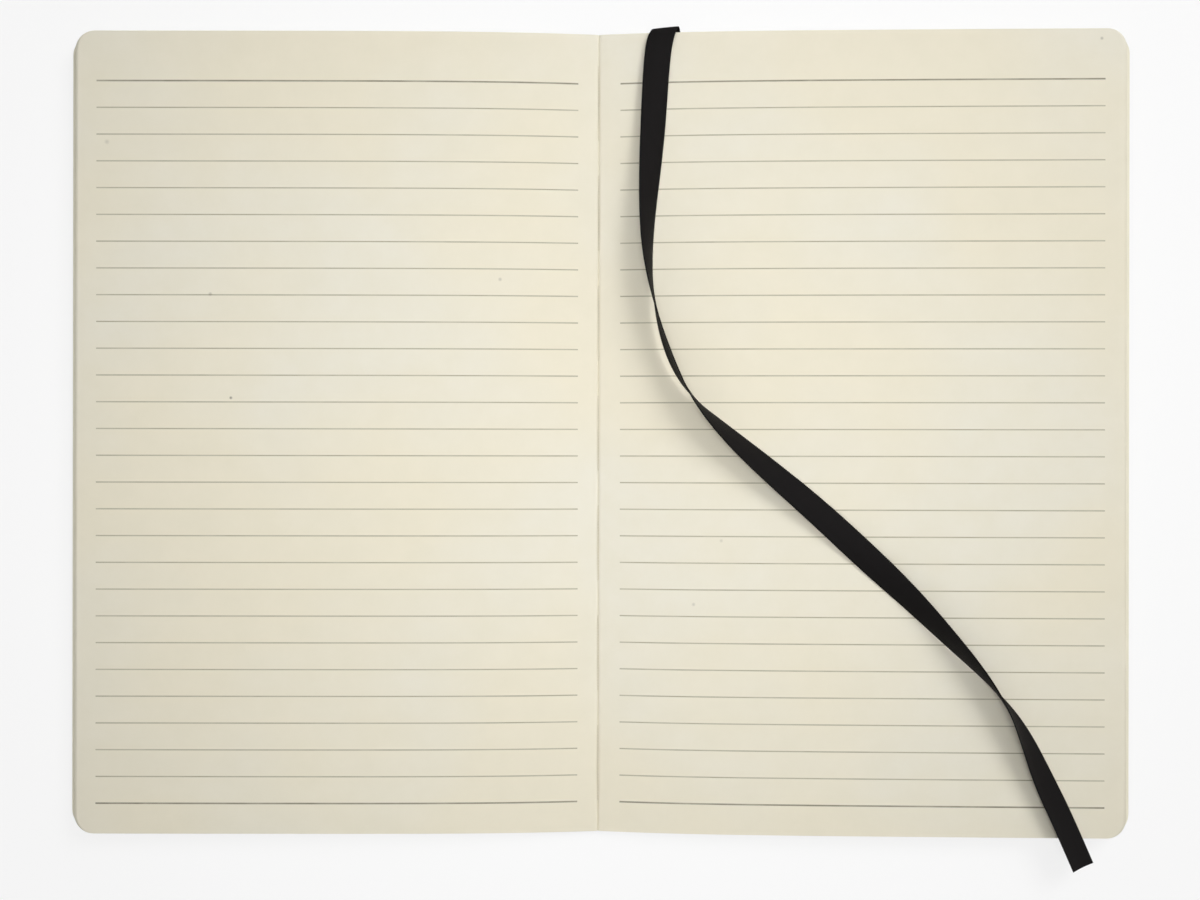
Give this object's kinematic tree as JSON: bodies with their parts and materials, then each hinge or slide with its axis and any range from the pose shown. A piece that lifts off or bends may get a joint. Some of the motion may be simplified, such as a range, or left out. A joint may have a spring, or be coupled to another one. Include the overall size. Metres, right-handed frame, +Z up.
{
  "type": "open ruled notebook with ribbon marker",
  "caption": "Soft-cover ruled notebook lying open at its sewn middle, round-cornered, with a flat ribbon marker twisting across the right page. Its two halves fold shut at the spine creases.",
  "frame": {"origin": "middle of the spine's underside, on the surface the open notebook lies on", "axes": "+X across the spread over the right page, +Y along the spine to the head, +Z up"},
  "size_m": [0.2792, 0.2199, 0.0123],
  "materials": {
    "soft_cover": "matte",
    "lining": "matte",
    "page_paper": "matte",
    "endpaper": "matte",
    "thread": "matte",
    "ribbon": "satin"
  },
  "bodies": {
    "back_half": {"back_cover": "soft_cover", "back_endpaper": "endpaper", "right_pages": "page_paper", "bookmark_ribbon": "ribbon"},
    "spine": {"spine_cover": "soft_cover", "spine_lining": "lining", "centre_sheet": "page_paper", "sewing_thread": "thread"},
    "front_half": {"front_cover": "soft_cover", "front_endpaper": "endpaper", "left_pages": "page_paper"}
  },
  "joints": [
    {"name": "back_crease", "type": "hinge", "parent": "back_half", "child": "spine", "pos_m": [0.004, 0, 0.0006], "axis": [0, 1, 0], "range_deg": [0, 89.5], "deforming": ["centre_sheet", "bookmark_ribbon"]},
    {"name": "front_crease", "type": "hinge", "parent": "spine", "child": "front_half", "pos_m": [-0.004, 0, 0.0006], "axis": [0, 1, 0], "range_deg": [0, 89.5], "deforming": ["centre_sheet", "bookmark_ribbon"]}
  ]
}
